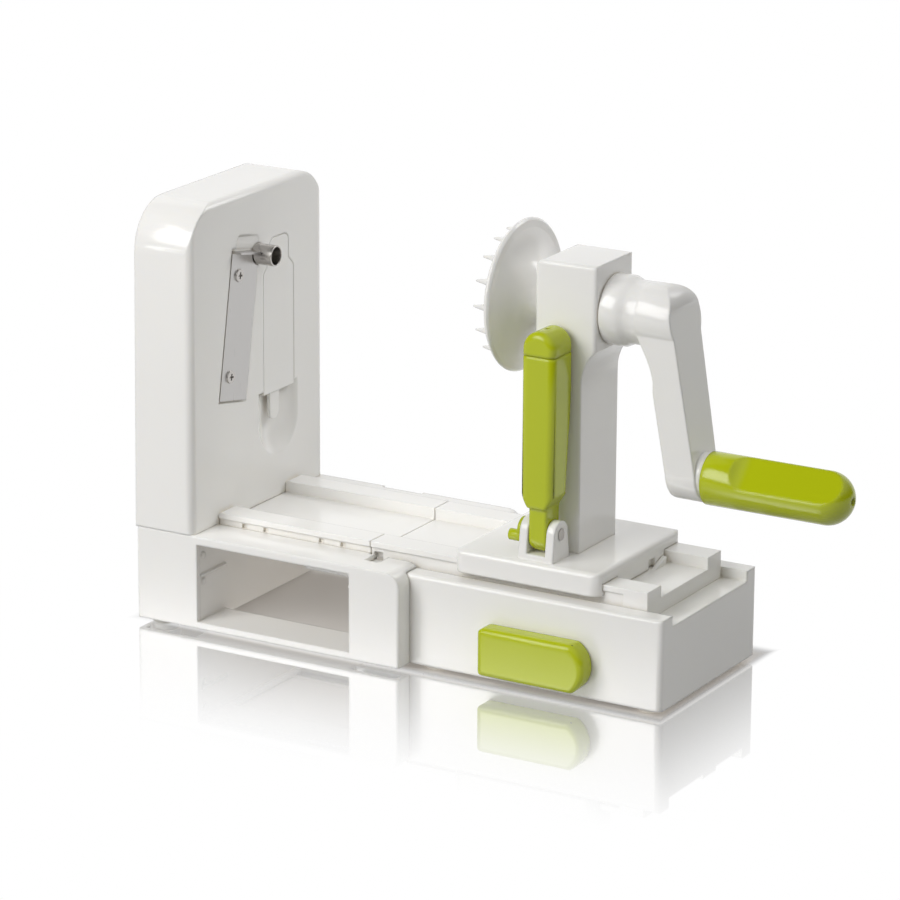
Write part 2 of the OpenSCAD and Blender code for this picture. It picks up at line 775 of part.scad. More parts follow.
// Right half: open-bottomed housing with the channel for the track and the cam's bearings
module right_base() {
    color(white) difference() {
        union() {
            difference() {
                intersection() {
                    along_z(z_base0, z_base1)
                        round_rect([x_plug, -base_y], [x_right, base_y], housing_r);
                    along_x(x_plug - cut, x_right + cut)
                        top_round_rect([-base_y, z_base0], [base_y, z_base1], edge_r);
                }
                box([x_plug + wall, -base_y + wall, z_base0 - cut],
                    [x_right - wall, base_y - wall, z_recess - wall]);
            }
            // ring that holds the suction foot
            difference() {
                rod_z(cup_z, z_recess - wall + cut, guide_r, x_knob, 0);
                rod_z(z_base0 - cut, z_recess - wall, guide_r - guide_t, x_knob, 0);
            }
            // rib that carries the cam shaft's inner end
            box([x_knob - guide_r + guide_t / 2, rear_rib_y, cup_z + cup_lip + fit_gap],
                [x_knob + guide_r - guide_t / 2, rear_rib_y + wall, z_recess - wall + cut]);
            // posts that carry the feet
            for (p = right_feet_at)
                rod_z(z_base0, z_base0 + boss_h, post_r, p[0], p[1]);
            // bosses of the track's screws
            for (p = track_screws_at)
                rod_z(z_recess - wall - boss_h, z_recess - wall + cut, tower_boss_r, p[0], p[1]);
        }
        // channel along the top, open at both ends
        box([x_plug - cut, -flange_y - channel_gap, z_recess],
            [x_right + cut, flange_y + channel_gap, z_base1 + cut]);
        // bearing of the cam shaft
        rod_y(-base_y - cut, rear_rib_y + wall + cut, cam_shaft_d / 2 + run_gap, x_knob, knob_axis_h);
        // room for the latch in the plug's front
        box([latch_hole_x0 - fit_gap, -web_y - latch_hole_w - fit_gap, z_recess],
            [latch_hole_x0 + latch_hole_len + fit_gap, -flange_y, z_base1 + cut]);
        for (p = track_screws_at)
            rod_z(z_base0, z_recess + cut, screw_d / 2 + run_gap, p[0], p[1]);
        for (p = right_feet_at)
            rod_z(z_base0 - cut, z_base0 + foot_stub_h + fit_gap, foot_stub_d / 2 + pilot_gap,
                  p[0], p[1]);
    }
}

edge_r = 2;
channel_gap = 1;
track_screw_len = 12;
track_screw_inset = 16;
track_end_inset = 7.6;
track_screws_at = [for (x = [x_plug + track_screw_inset, x_rail_end - track_end_inset],
                        y = [-(rail_in_y + web_y) / 2, (rail_in_y + web_y) / 2]) [x, y]];
web_setback = 7;
notch_rise = 1;
tooth_y = 10;
tooth_w = 12;
tooth_h = 4.2;

// Right half's deck and rails, with the end bar and the stop tooth
module right_track() {
    color(white) difference() {
        union() {
            along_x(x_seam + seam_gap, x_rail_end) rail_profile(z_recess);
            box([x_rail_end - wall, -rail_in_y, z_recess], [x_rail_end, rail_in_y, z_deck]);
            // solid ends below the flanges
            both_sides()
                box([x_rail_end - end_block_len, -flange_y, z_recess],
                    [x_rail_end, -web_y + top_t, z_rail - flange_t + cut]);
            // stop tooth, rising to the rear
            along_x(x_tooth, x_tooth + tooth_len)
                polygon([[tooth_y, z_deck - top_t], [tooth_y, z_deck],
                         [tooth_y + tooth_w, z_deck + tooth_h],
                         [tooth_y + tooth_w, z_deck - top_t]]);
        }
        // hollow undersides of the rails, with posts left for the screws
        both_sides() difference() {
            box([x_seam + web_setback + top_t, rail_in_y + top_t, z_recess - cut],
                [x_rail_end - top_t, web_y - top_t, z_rail - top_t]);
            for (p = track_screws_at)
                rod_z(z_recess, z_rail, tower_boss_r, p[0], abs(p[1]));
        }
        // the webs' lower parts start behind the seam, clear of the other half
        both_sides() {
            box([x_seam, rail_in_y - cut, z_recess - cut],
                [x_seam + web_setback, web_y + cut, z_ledge - top_t + fit_gap]);
            box([x_seam + seam_shift, web_y - top_t, z_recess - cut],
                [x_seam + web_setback, web_y + cut, z_ledge + notch_rise]);
        }
        for (p = track_screws_at)
            rod_z(z_recess - cut, z_recess + track_screw_len - wall + fit_gap,
                  screw_d / 2 + pilot_gap, p[0], p[1]);
    }
}

// Screws up into the right track
module track_screws() {
    color(steel) for (p = track_screws_at)
        translate([p[0], p[1], z_recess - wall - boss_h - pilot_gap])
            pan_screw(track_screw_len + boss_h - fit_gap, screw_d, screw_head_d, screw_head_t);
}

latch_travel = 2;
latch_t = 2;

// Spring catch under the release hole, pressed down to free the halves
module base_latch() {
    color(white) {
        box([latch_hole_x0, -web_y - latch_hole_w, z_base1 - latch_t],
            [latch_hole_x0 + latch_hole_len, -flange_y - fit_gap, z_base1]);
        box([latch_hole_x0, -web_y - latch_hole_w, z_recess + latch_travel + fit_gap],
            [latch_hole_x0 + latch_t, -flange_y - fit_gap, z_base1]);
    }
}

knob_gap = 0.4;
knob_corner_r = 4;
knob_edge_r = 3.2;
knob_round_y = -base_y - knob_gap;

// Lime lever on the front of the base, square at one end and round at the other
module suction_lever() {
    y1 = knob_round_y;
    y0 = -base_y - knob_t;
    x1 = x_knob + knob_end;
    x0 = x1 - knob_len;
    z0 = knob_axis_h - knob_h / 2;
    z1 = knob_axis_h + knob_h / 2;
    color(lime) difference() {
        intersection() {
            along_y(y0, y1) round_rect([x0, z0], [x1 + knob_corner_r, z1], knob_corner_r);
            // softened front edges
            along_x(x0, x1) round_rect([y0, z0], [y1 + knob_t, z1], knob_edge_r);
            along_z(z0, z1) round_rect([x0, y0], [x1 + knob_t, y1 + knob_t], knob_edge_r);
            // round end with a softened rim
            union() {
                box([x0 - cut, y0 - cut, z0 - cut], [x1 - knob_bow_r, y1 + cut, z1 + cut]);
                translate([x1 - knob_bow_r, y1 + cut, knob_axis_h]) rotate([90, 0, 0])
                    rotate_extrude() knob_bow_section(y1 + cut - y0);
            }
        }
        rod_y(-base_y - knob_t / 2, -base_y + cut, cam_shaft_d / 2 + pilot_gap, x_knob, knob_axis_h);
    }
}
module knob_bow_section(depth) {
    square([knob_bow_r, depth - knob_edge_r]);
    square([knob_bow_r - knob_edge_r, depth + cut]);
    translate([knob_bow_r - knob_edge_r, depth - knob_edge_r]) circle(knob_edge_r);
}
knob_bow_r = 14.6;
knob_end = 12;

yoke_t = 9;
cam_t = 8;

// Shaft from the lever to the rib, with the cam that lifts the suction foot
module cam_shaft() {
    color(white) {
        rod_y(-base_y - knob_t / 2 + fit_gap, rear_rib_y + wall + fit_gap, cam_shaft_d / 2,
              x_knob, knob_axis_h);
        rod_y(-cam_t / 2, cam_t / 2, cam_d / 2, x_knob - cam_throw, knob_axis_h);
    }
}

yoke_play = 0.7;
yoke_bar = 3;
yoke_stem_r = 5;
button_r = 9;
button_t = 1.8;

// Yoke round the cam, with the stem that pulls the suction foot's middle up
module lift_yoke() {
    slot_z = cam_d / 2 + yoke_play;
    slot_x = cam_d / 2 + cam_throw + yoke_play;
    z_low = knob_axis_h - slot_z - yoke_bar;
    color(white) {
        along_y(-yoke_t / 2, yoke_t / 2) difference() {
            translate([x_knob - slot_x - yoke_bar, z_low])
                square([2 * slot_x + 2 * yoke_bar, 2 * slot_z + 2 * yoke_bar]);
            translate([x_knob - slot_x, knob_axis_h - slot_z]) square([2 * slot_x, 2 * slot_z]);
        }
        rod_z(cup_base_z, z_low + yoke_bar / 2, yoke_stem_r, x_knob, 0);
        rod_z(cup_base_z, cup_base_z + button_t, button_r, x_knob, 0);
    }
}

cup_base_z = 2.4;
cup_skin = 2;
cup_lip = 2;

// Rubber suction foot, held in the ring of the right half
module suction_foot() {
    color(rubber) difference() {
        union() {
            intersection() {
                rod_z(cup_lift, cup_z, cup_d / 2, x_knob, 0);
                translate([x_knob, 0, cup_lift])
                    cylinder(h = cup_z - cup_lift, r1 = cup_d / 2, r2 = cup_d / 2);
            }
            rod_z(cup_z - cut, cup_z + cup_lip, guide_r - guide_t - fit_gap, x_knob, 0);
        }
        // hollow side towards the table
        translate([x_knob, 0, cup_lift - cut])
            cylinder(h = cup_z - cup_lift - cup_skin + cut, r1 = cup_d / 2 - cup_lip, r2 = button_r);
        // room for the stem and its button
        rod_z(cup_lift - cut, cup_z + cup_lip + cut, button_r + fit_gap, x_knob, 0);
    }
}
cup_lift = 0.4;

hook_gap = 0.3;
plate_r = 6;
plate_edge_r = 3;
channel_play = 0.4;
tooth_window_y = 8.4;
tooth_window_w = 6.5;
tooth_window_h = 5;
tooth_window_t = 1.8;
end_wall_gap = 0.5;
lever_inset = 4.6;
lever_x = x_col0 + lever_w / 2 + lever_inset;
ear_gap = 10.5;
pin_y = -32.2;
ear_x0 = lever_x - ear_gap / 2 - ear_t;
ear_x1 = lever_x + ear_gap / 2 + ear_t;
ear_base_t = 3;
ear_top_share = 0.42;
column_screw_len = 20;
column_screw_y = column_y - wall - tower_boss_r + boss_lap;
column_screws_at = [for (y = [-column_screw_y, column_screw_y]) [x_col0 + stem_len / 2, y]];

// Profile of a clevis ear seen along the base: tapered sides under a round top
module ear_profile() {
    r = ear_d * ear_top_share;
    translate([pin_y, z_pin]) circle(r);
    polygon([[pin_y - ear_d / 2, z_plate1 - ear_base_t], [pin_y + ear_d / 2, z_plate1 - ear_base_t],
             [pin_y + ear_d / 2, z_plate1 + ear_base_t], [pin_y + r, z_pin], [pin_y - r, z_pin],
             [pin_y - ear_d / 2, z_plate1 + ear_base_t]]);
}

// Sliding plate that straddles the rails, with the clevis of the push lever
module carriage_plate() {
    color(white) difference() {
        union() {
            intersection() {
                along_z(z_plate0, z_plate1)
                    round_rect([x_plate0, -plate_y], [x_plate1, plate_y], plate_r);
                along_x(x_plate0, x_plate1)
                    top_round_rect([-plate_y, z_plate0], [plate_y, z_plate1], plate_edge_r);
                along_y(-plate_y, plate_y)
                    top_round_rect([x_plate0, z_plate0], [x_plate1, z_plate1], plate_edge_r);
            }
            along_x(ear_x0, ear_x0 + ear_t) ear_profile();
            along_x(ear_x1 - ear_t, ear_x1) ear_profile();
            box([ear_x0, pin_y - ear_d / 2, z_plate1 - ear_base_t],
                [ear_x1, pin_y + ear_d / 2, z_plate1 + ear_base_t]);
        }
        // room for the rails, undercut for their flanges
        both_sides() {
            box([x_plate0 - cut, rail_in_y - channel_play, z_plate0 - cut],
                [x_plate1 + cut, web_y + hook_gap, z_plate_in]);
            box([x_plate0 - cut, rail_in_y - channel_play, z_rail - flange_t - hook_gap],
                [x_plate1 + cut, flange_y + channel_play, z_plate_in]);
        }
        // hollow between the rails, leaving the two end walls
        box([x_plate0 + wall, -rail_in_y, z_plate0 - cut], [x_plate1 - wall, rail_in_y, z_plate_in]);
        box([x_plate0 - cut, -rail_in_y, z_plate0 - cut],
            [x_plate1 + cut, rail_in_y, z_deck + end_wall_gap]);
        // sight window beside the stop tooth
        box([x_plate1 - tooth_window_t, tooth_window_y, z_plate0 - cut],
            [x_plate1 + cut, tooth_window_y + tooth_window_w, z_deck + tooth_window_h]);
        // bore of the lever's pin
        rod_x(ear_x0 - cut, ear_x1 + cut, lever_pin_d / 2 + pilot_gap, pin_y, z_pin);
        for (p = column_screws_at)
            rod_z(z_plate0 - cut, z_plate1 + cut, screw_d / 2 + run_gap, p[0], p[1]);
    }
}

head_r = 5;
column_edge_r = 2;
column_boss_h = 26;
bush_flange_t = 1.6;
bush_flange_d = 20;
bush_d = 15;
bush_len = 10;

// Hollow column with an overhanging head that carries the crank's bearings
module column_shell() {
    color(white) difference() {
        union() {
            difference() {
                intersection() {
                    along_y(-column_y, column_y) column_outline(0);
                    along_z(z_plate1, axis_h + head_rise)
                        round_rect([x_col0, -column_y], [x_col1, column_y], column_edge_r);
                    along_x(x_col0, x_col1)
                        top_round_rect([-column_y, z_plate1], [column_y, axis_h + head_rise],
                                       column_edge_r);
                }
                along_y(-column_y + wall, column_y - wall) column_outline(wall);
            }
            rod_x(x_col0, x_col1, bush_d / 2 + wall, 0, axis_h);
            for (p = column_screws_at)
                rod_z(z_plate1, z_plate1 + column_boss_h, tower_boss_r, p[0], p[1]);
        }
        rod_x(x_col0 - cut, x_col1 + cut, bush_d / 2 + pilot_gap, 0, axis_h);
        rod_x(x_col0 - cut, x_col0 + bush_flange_t, bush_flange_d / 2 + pilot_gap, 0, axis_h);
        rod_x(x_col1 - bush_flange_t, x_col1 + cut, bush_flange_d / 2 + pilot_gap, 0, axis_h);
        for (p = column_screws_at)
            rod_z(z_plate1 - cut, z_plate1 + column_screw_len, screw_d / 2 + pilot_gap, p[0], p[1]);
    }
}

// Side view of the column, drawn in by an inset: a head over a coved, narrower stem
module column_outline(inset) {
    z_top = axis_h + head_rise - inset;
    z_low = inset > 0 ? z_plate1 - cut : z_plate1;
    r = head_r - inset;
    difference() {
        union() {
            translate([x_col0 + inset, z_low]) square([head_len - 2 * inset, z_top - r - z_low]);
            translate([x_col0 + inset + r, z_low]) square([head_len - 2 * inset - r, z_top - z_low]);
            translate([x_col0 + inset + r, z_top - r]) circle(r);
        }
        translate([x_stem1 - inset, z_low - cut])
            square([head_len, z_cove - z_low + cut]);
        translate([x_stem1 + cove_r, z_cove]) circle(cove_r + inset);
    }
}
cove_drop = 17.2;
z_cove = z_head - cove_drop;

module column_screws() {
    color(steel) for (p = column_screws_at)
        translate([p[0], p[1], z_plate_in])
            pan_screw(column_screw_len, screw_d, screw_head_d, screw_head_t);
}

// Flanged plastic bush, its flange let into the column's side
module flanged_bush() {
    difference() {
        union() {
            cylinder(h = bush_len, r = bush_d / 2);
            cylinder(h = bush_flange_t, r = bush_flange_d / 2);
        }
        translate([0, 0, -cut]) cylinder(h = bush_len + 2 * cut, r = shaft_d / 2 + run_gap);
    }
}
module left_bush() {
    color(white) translate([x_col0, 0, axis_h]) rotate([0, 90, 0]) flanged_bush();
}
module right_bush() {
    color(white) translate([x_col1, 0, axis_h]) rotate([0, -90, 0]) flanged_bush();
}

lever_front = 8.9;
lever_foot = 9.6;
lever_neck_d = 13.6;
cap_gap = 0.15;
lever_edge_r = 3.5;

// Front view of the lever: round foot, narrow neck and sloping shoulders
module lever_front_view() {
    half = lever_w / 2;
    translate([lever_x, z_pin - lever_foot + neck_w / 2]) circle(neck_w / 2);
    translate([lever_x - neck_w / 2, z_pin - lever_foot + neck_w / 2])
        square([neck_w, lever_foot - neck_w / 2 + neck_len + cut]);
    polygon([[lever_x - neck_w / 2, z_pin + neck_len], [lever_x + neck_w / 2, z_pin + neck_len],
             [lever_x + half, z_pin + neck_len + neck_slope],
             [lever_x + half, z_pin + lever_len + cut],
             [lever_x - half, z_pin + lever_len + cut],
             [lever_x - half, z_pin + neck_len + neck_slope]]);
}

// Side view of the lever: the rear leans out from the shoulders up to the cap
module lever_side_view() {
    y0 = pin_y - lever_front;
    translate([pin_y, z_pin - lever_foot + lever_neck_d / 2]) circle(lever_neck_d / 2);
    translate([pin_y - lever_neck_d / 2, z_pin - lever_foot + lever_neck_d / 2])
        square([lever_neck_d, lever_foot - lever_neck_d / 2 + neck_len + neck_slope]);
    polygon([[y0, z_pin + neck_len], [pin_y + lever_neck_d / 2, z_pin + neck_len],
             [y0 + lever_low_d, z_pin + neck_len + neck_slope],
             [y0 + lever_d + lever_over, z_pin + lever_len - cap_h],
             [y0 + lever_d + lever_over, z_pin + lever_len + cut],
             [y0, z_pin + lever_len + cut]]);
}
lever_over = 0.5;
lever_low_d = 14.6;

// Half of the lever's rounded cross-section
module lever_half_section() {
    half = lever_w / 2;
    square([half - lever_edge_r, lever_d]);
    translate([0, lever_edge_r]) square([half, lever_d - 2 * lever_edge_r]);
    for (y = [lever_edge_r, lever_d - lever_edge_r])
        translate([half - lever_edge_r, y]) circle(lever_edge_r);
}

module lever_body() {
    z_arch = z_pin + lever_len - lever_w / 2;
    intersection() {
        along_y(pin_y - lever_front - cut, pin_y - lever_front + lever_d + cut) lever_front_view();
        along_x(lever_x - lever_w, lever_x + lever_w) lever_side_view();
        union() {
            along_z(z_pin - lever_foot, z_arch)
                round_rect([lever_x - lever_w / 2, pin_y - lever_front],
                           [lever_x + lever_w / 2, pin_y - lever_front + lever_d], lever_edge_r);
            // domed top: the same cross-section turned about the arch's centre
            translate([lever_x, pin_y - lever_front, z_arch]) rotate([-90, 0, 0])
                rotate_extrude() lever_half_section();
        }
    }
}

// Fold-out lever that the free hand pushes the carriage with
module push_lever() {
    color(lime) difference() {
        lever_body();
        box([lever_x - lever_w, pin_y - lever_d, z_pin + lever_len - cap_h],
            [lever_x + lever_w, pin_y + lever_d, z_pin + lever_len + cut]);
        rod_x(lever_x - lever_w, lever_x + lever_w, lever_pin_d / 2 + run_gap, pin_y, z_pin);
        rod_z(z_pin + lever_len - cap_h - cap_plug_h - fit_gap, z_pin + lever_len, cap_plug_r + pilot_gap,
              lever_x, pin_y - lever_front + lever_d / 2);
    }
}
cap_plug_h = 6;
cap_plug_r = 4;
cap_hole_r = 1;
cap_hole_depth = 3;

// Cap plugged into the lever's top
module lever_cap() {
    color(lime) difference() {
        union() {
            intersection() {
                lever_body();
                box([lever_x - lever_w, pin_y - lever_d, z_pin + lever_len - cap_h + cap_gap],
                    [lever_x + lever_w, pin_y + lever_d, z_pin + lever_len + cut]);
            }
            rod_z(z_pin + lever_len - cap_h - cap_plug_h, z_pin + lever_len - cap_h / 2, cap_plug_r,
                  lever_x, pin_y - lever_front + lever_d / 2);
        }
        rod_z(z_pin + lever_len - cap_hole_depth, z_pin + lever_len + cut, cap_hole_r,
              lever_x, pin_y - lever_front + lever_d / 2);
    }
}

// Steel pin through both ears
module lever_pin() {
    color(steel) rod_x(ear_x0 - catch_t - catch_gap, ear_x1 + fit_gap, lever_pin_d / 2, pin_y, z_pin);
}
catch_t = 1.8;
catch_gap = 0.2;
catch_r = 6.2;
tab_reach = 7;
tab_r = 3;

// Lime catch on the pin beside the left ear, with a finger tab
module lever_catch() {
    color(lime) difference() {
        union() {
            rod_x(ear_x0 - catch_gap - catch_t, ear_x0 - catch_gap, catch_r, pin_y, z_pin);
            rod_x(ear_x0 - catch_gap - tab_reach, ear_x0 - catch_gap, tab_r,
                  pin_y - catch_r + tab_r, z_pin - tab_r);
        }
        rod_x(ear_x0 - catch_gap - tab_reach - cut, ear_x0 + cut, lever_pin_d / 2 + run_gap,
              pin_y, z_pin);
    }
}

spike_cone_r = 7;
spike_cone_len = 6;
flare_r = 12;
spike_phase = 90;
disc_gap = 0.5;
rim_r = 1.2;

// Food holder: a dished disc with a ring of spikes and a flared hub behind it
module holder_disc() {
    back = x_disc + disc_t;
    hub_end = x_col0 - disc_gap;
    flare_n = 12;
    color(white) difference() {
        union() {
            translate([0, 0, axis_h]) rotate([0, 90, 0])
                rotate_extrude()
                    polygon(concat(
                        [[0, x_disc], [disc_d / 2 - rim_r, x_disc], [disc_d / 2, x_disc + rim_r],
                         [disc_d / 2, back - rim_r], [disc_d / 2 - rim_r, back]],
                        [for (i = [0:flare_n])
                            [flare_r + (disc_d / 2 - flare_r - 4 * rim_r) * pow(1 - i / flare_n, 2),
                             back + (hub_end - back) * pow(i / flare_n, 1.3)]],
                        [[0, hub_end]]));
            for (i = [0:spike_count - 1])
                translate([x_disc + rim_r, 0, axis_h]) rotate([spike_phase + i * 360 / spike_count, 0, 0])
                    translate([0, 0, spike_circle_d / 2]) rotate([0, -90, 0])
                        cylinder(h = spike_len + rim_r, r1 = spike_d / 2, r2 = spike_tip_r);
            translate([x_disc + rim_r, 0, axis_h]) rotate([0, -90, 0])
                cylinder(h = spike_cone_len + rim_r, r1 = spike_cone_r / 2, r2 = spike_tip_r);
        }
        rod_x(hub_end - shaft_seat, hub_end + cut, shaft_d / 2 + pilot_gap, 0, axis_h);
    }
}
spike_tip_r = 0.45;
shaft_seat = 14;

// Steel shaft that joins the disc and the crank through the column
module drive_shaft() {
    color(steel)
        rod_x(x_col0 - disc_gap - shaft_seat + fit_gap, x_col1 + hub_gap + shaft_grip_len - fit_gap,
              shaft_d / 2, 0, axis_h);
}
hub_gap = 0.5;
shaft_grip_len = 24;

arm_lean = 0.172;
arm_corner_r = 12;
hub_len = 9;
shoulder_len = 5;
shoulder_lap = 0.6;
arm_foot_r = 6;
saddle = 1.6;

// Outer edge of the leaning arm at a height
function arm_x(z) = x_grip - arm_out + arm_lean * (z_grip - z);

// Side view of the arm: a round shoulder over the leaning arm
module arm_side_view() {
    top = axis_h + arm_top_r + arm_over;
    low = z_grip - arm_low_w / 2 - arm_over;
    x_start = x_col1 + hub_gap + hub_len + shoulder_len / 2;
    polygon([[x_start, z_under], [arm_x(z_under) - arm_t, z_under],
             [arm_x(low + arm_foot_r) - arm_t, low + arm_foot_r],
             [arm_x(low) - arm_t + arm_foot_r, low], [arm_x(low), low],
             [arm_x(top - arm_corner_r), top - arm_corner_r],
             [arm_x(top) - arm_corner_r, top], [x_start, top]]);
    polygon([[arm_corner_x, z_under], [arm_knee_x - arm_over, z_under - fillet_drop],
             [arm_x(z_under), z_under]]);
    translate([arm_x(top - arm_corner_r) - arm_corner_r, top - arm_corner_r])
        circle(arm_corner_r);
    translate([arm_x(low + arm_foot_r) - arm_t + arm_foot_r, low + arm_foot_r])
        circle(arm_foot_r);
}
arm_out = 2.7;
arm_top_r = hub_d / 2 - saddle;
arm_over = 0.4;
z_under = axis_h - arm_top_r - arm_over;
fillet_len = 6;
fillet_drop = 17;
fillet_r = 33;
arm_corner_x = arm_x(z_under) - arm_t - fillet_len;
arm_knee_x = arm_x(z_under - fillet_drop) - arm_t + arm_over;

// Hollow turned about the crank's axis that blends the round neck into the arm
module arm_fillet() {
    neck = arm_top_r - arm_tuck;
    chord = [fillet_drop, arm_knee_x - arm_corner_x];
    half = norm(chord) / 2;
    out = [chord[1], -chord[0]] / (2 * half);
    middle = [neck + chord[0] / 2, (arm_corner_x + arm_knee_x) / 2];
    x_start = x_col1 + hub_gap + hub_len;
    translate([0, 0, axis_h]) rotate([0, 90, 0]) rotate_extrude() difference() {
        translate([neck, x_start]) square([crank_r / 2, arm_knee_x - x_start]);
        difference() {
            polygon([[neck, arm_corner_x], [neck + fillet_drop, arm_knee_x],
                     [neck + fillet_drop, arm_knee_x + cut], [neck - cut, arm_knee_x + cut],
                     [neck - cut, arm_corner_x]]);
            translate(middle + out * sqrt(fillet_r * fillet_r - half * half)) circle(fillet_r);
        }
    }
}

// End view of the arm: a round top over tapered sides, and the grip's circle
module arm_end_view() {
    translate([0, axis_h]) circle(arm_top_r);
    translate([0, z_grip]) circle(arm_low_w / 2);
    polygon([[-arm_top_w / 2, axis_h], [arm_top_w / 2, axis_h],
             [arm_low_w / 2 - arm_tuck, z_grip], [-arm_low_w / 2 + arm_tuck, z_grip]]);
}
arm_tuck = 0.2;

// Crank arm with the hub that takes the shaft and the boss that faces the grip
module crank_arm() {
    color(white) difference() {
        union() {
            rod_x(x_col1 + hub_gap, x_col1 + hub_gap + hub_len, hub_d / 2, 0, axis_h);
            // shoulder from the hub down to the arm's round top
            translate([x_col1 + hub_gap + hub_len, 0, axis_h]) rotate([0, 90, 0])
                cylinder(h = shoulder_len, r1 = hub_d / 2, r2 = arm_top_r - shoulder_lap);
            difference() {
                intersection() {
                    along_y(-hub_d, hub_d) arm_side_view();
                    along_x(x_col1, x_grip) arm_end_view();
                }
                arm_fillet();
            }
            rod_x(x_grip - arm_t / 2, x_grip - grip_gap, arm_low_w / 2 - arm_tuck, 0, z_grip);
        }
        rod_x(x_col1, x_col1 + hub_gap + shaft_grip_len, shaft_d / 2 + pilot_gap, 0, axis_h);
        rod_x(x_grip - axle_seat, x_grip + cut, axle_d / 2 + pilot_gap, 0, z_grip);
    }
}
grip_gap = 0.3;
axle_seat = 13;

axle_short = 18;
grip_screw_d = 4;
grip_screw_head_d = 9;
grip_screw_head_t = 3;
grip_screw_len = 14;

// Steel axle of the grip, pressed into the arm
module grip_axle() {
    color(steel) difference() {
        rod_x(x_grip - axle_seat + fit_gap, x_grip_end - axle_short, axle_d / 2, 0, z_grip);
        rod_x(x_grip_end - axle_short - grip_screw_len, x_grip_end - axle_short + cut,
              grip_screw_d / 2 + pilot_gap, 0, z_grip);
    }
}

// Screw in the axle's end that keeps the grip on
module grip_screw() {
    color(steel)
        translate([x_grip_end - axle_short, 0, z_grip]) rotate([0, -90, 0])
            pan_screw(grip_screw_len - fit_gap, grip_screw_d, grip_screw_head_d, grip_screw_head_t);
}

flat_turn = 48;
grip_access_r = 2;

// Turning grip with a plain collar, two finger flats and a domed end
module hand_grip() {
    r = grip_d / 2;
    color(lime) difference() {
        union() {
            rod_x(x_grip, x_grip_end - r, r, 0, z_grip);
            translate([x_grip_end - r, 0, z_grip]) sphere(r);
        }
        for (a = [flat_turn, flat_turn + 180])
            translate([0, 0, z_grip]) rotate([-a, 0, 0]) grip_flat();
        rod_x(x_grip - cut, x_grip_end - axle_short + grip_play, axle_d / 2 + run_gap, 0, z_grip);
        rod_x(x_grip_end - axle_short - fit_gap, x_grip_end - axle_short + grip_screw_head_t + fit_gap,
              grip_screw_head_d / 2 + fit_gap, 0, z_grip);
        rod_x(x_grip_end - axle_short, x_grip_end + cut, grip_access_r, 0, z_grip);
    }
}
grip_play = 0.2;

// Tool that cuts one finger flat: a slab behind a round scoop
module grip_flat() {
    r = grip_d / 2;
    ramp = sqrt(2 * scoop_in_r * flat_depth - flat_depth * flat_depth);
    x0 = x_grip + grip_collar + ramp;
    translate([x0, -r - r + flat_depth, -r]) cube([grip_len, r, 2 * r]);
    translate([x0, -r + flat_depth - scoop_in_r, -r]) cylinder(h = 2 * r, r = scoop_in_r);
}
scoop_in_r = 10;

base_sleeve();
tower_shell();
left_track();
straight_blade();
coring_tube();
blade_screws();
tower_screws();
left_feet();
blank_insert();
right_base();
right_track();
track_screws();
right_feet();
base_latch();
suction_lever();
cam_shaft();
lift_yoke();
suction_foot();
carriage_plate();
column_shell();
column_screws();
left_bush();
right_bush();
push_lever();
lever_cap();
lever_pin();
lever_catch();
holder_disc();
drive_shaft();
crank_arm();
grip_axle();
grip_screw();
hand_grip();
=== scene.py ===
"""Looks of the hand cranked spiralizer: materials, softened edges, floor, light and camera.

Metres, in the part's own frame: +X from the blade tower to the crank, +Y to the rear, +Z up.
"""
import math

import bpy
from mathutils import Euler, Matrix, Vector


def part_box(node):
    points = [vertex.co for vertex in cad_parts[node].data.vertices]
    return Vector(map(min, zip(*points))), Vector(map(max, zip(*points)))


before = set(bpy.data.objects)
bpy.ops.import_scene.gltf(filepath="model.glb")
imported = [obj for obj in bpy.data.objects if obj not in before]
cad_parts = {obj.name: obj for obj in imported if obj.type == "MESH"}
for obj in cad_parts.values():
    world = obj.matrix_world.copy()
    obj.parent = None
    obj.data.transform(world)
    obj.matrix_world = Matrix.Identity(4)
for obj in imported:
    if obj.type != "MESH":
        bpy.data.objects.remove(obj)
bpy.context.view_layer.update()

MM = 0.001
PURE_WHITE = (1, 1, 1, 1)

# Plastic: (scale, detail) of its noises, and how strongly each one shows
SHADE_NOISE, GRAIN_NOISE, SWELL_NOISE = (14.0, 2.0), (900.0, 3.0), (45.0, 1.0)
ROUGH_LOW, ROUGH_HIGH = 0.85, 1.15
SWELL_DEPTH = 0.2 * MM
GRAIN_STRENGTH, GRAIN_DEPTH = 0.03, 0.02 * MM
PLASTIC_IOR = 1.49
GLOW_SPREAD, GLOW_DEPTH = (1.0, 0.9, 0.7), 2.0 * MM

# Rays with which crevices and soft edges are found
LOCAL_SAMPLES = 6

# Crevices: tint of the painted shade, reach, and the openness at which the tint is full and at which
# it is gone
NOOK_SHADE_TINT = (0.985, 0.95, 0.88, 1)
NOOK_REACH = 5.0 * MM
NOOK_DEEP, NOOK_OPEN = 0.15, 0.7

# Steel: detail of the brushing, its share of the roughness at both ends, and its relief
BRUSH_DETAIL = 4.0
BRUSH_SMOOTH, BRUSH_ROUGH = 0.75, 1.3
BRUSH_STRENGTH, BRUSH_DEPTH = 0.06, 0.02 * MM

# Finish of the outer white plastic
WHITE_COLOR = (0.86, 0.85, 0.825)
WHITE_ROUGHNESS = 0.15
WHITE_GLOW = 0.12

